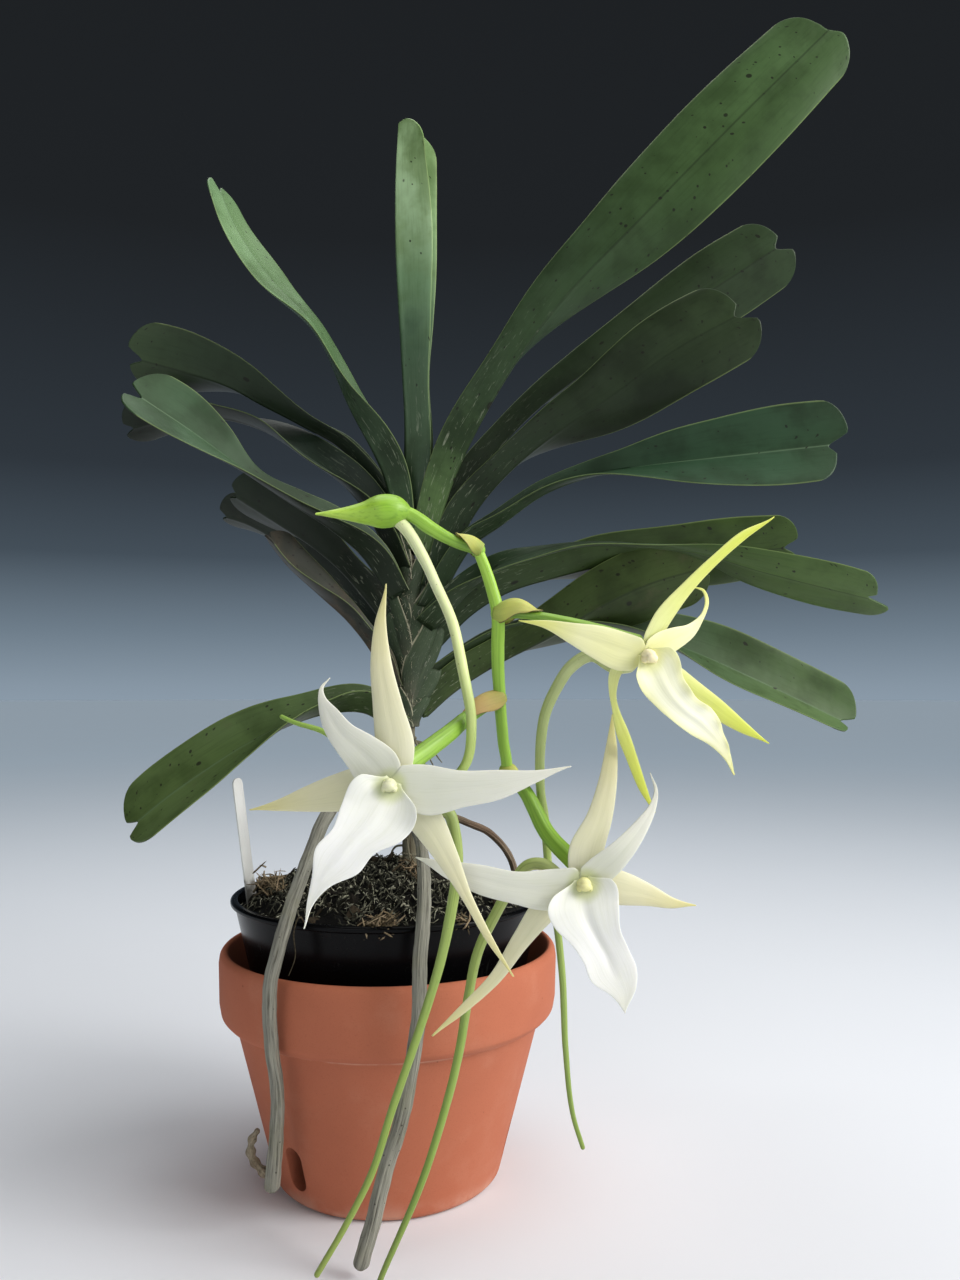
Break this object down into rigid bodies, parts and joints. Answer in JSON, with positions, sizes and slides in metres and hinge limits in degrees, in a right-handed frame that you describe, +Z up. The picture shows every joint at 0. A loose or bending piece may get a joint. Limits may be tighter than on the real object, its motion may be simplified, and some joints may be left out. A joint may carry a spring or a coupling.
{
  "type": "potted angraecoid orchid",
  "caption": "Potted angraecoid orchid: a fan of strap leaves on an upright stem, a zigzag spike of spurred star flowers with a bud, and aerial roots over a terracotta pot.",
  "frame": {"origin": "centre of the underside of the terracotta pot", "axes": "+Z up along the pot's axis, -Y towards the side that the flowers face, +X to the right seen from there"},
  "size_m": [0.4554, 0.2783, 0.6436],
  "materials": {
    "terracotta": "unglazed, matt, with pale bloom",
    "black_plastic": "smooth gloss",
    "medium": "rough dark bark and moss",
    "label": "smooth, blank",
    "bark": "dry papery grey",
    "leaf": "smooth, half gloss, pale margins",
    "leaf_pale": "smooth, half gloss",
    "leaf_olive": "smooth, with dark spots",
    "leaf_brown": "dull, weathered",
    "root": "matt silver grey skin",
    "root_brown": "matt, dry",
    "spike": "smooth, half gloss",
    "bract": "thin, satin",
    "bract_tan": "thin, dry",
    "bud": "smooth, waxy",
    "spur": "smooth, waxy",
    "bud_spur": "smooth, waxy",
    "petal": "waxy white",
    "sepal": "waxy cream",
    "yellow_sepal": "waxy yellow green",
    "yellow_petal": "waxy pale yellow",
    "column": "waxy"
  },
  "bodies": {
    "root": {"terracotta_pot": "terracotta", "inner_pot": "black_plastic", "stem": "bark", "growing_medium": "medium", "plant_label": "label", "leaf_centre": "leaf_pale", "leaf_right_1": "leaf", "leaf_right_2": "leaf", "leaf_right_3": "leaf", "leaf_right_4": "leaf", "leaf_right_5": "leaf", "leaf_right_6": "leaf", "leaf_right_7": "leaf", "leaf_right_8": "leaf", "leaf_left_2": "leaf", "leaf_left_3": "leaf", "leaf_left_4": "leaf", "leaf_left_5": "leaf", "leaf_left_6": "leaf", "leaf_left_7": "leaf", "leaf_left_8": "leaf_brown", "leaf_left_9": "leaf_olive", "root_left": "root", "root_front": "root", "root_back": "root_brown", "flower_spike": "spike", "bract_bud": "bract", "bract_2": "bract", "bract_1": "bract_tan", "bract_3": "bract_tan", "bud": "bud", "bud_spur": "bud_spur", "flower_1_sepals": "sepal", "flower_1_petals": "petal", "flower_1_lip": "petal", "flower_1_column": "column", "flower_1_spur": "spur", "flower_2_sepals": "yellow_sepal", "flower_2_petals": "yellow_petal", "flower_2_lip": "yellow_petal", "flower_2_column": "column", "flower_2_spur": "spur", "flower_3_sepals": "sepal", "flower_3_petals": "petal", "flower_3_lip": "petal", "flower_3_column": "column", "flower_3_spur": "spur"}
  },
  "joints": []
}
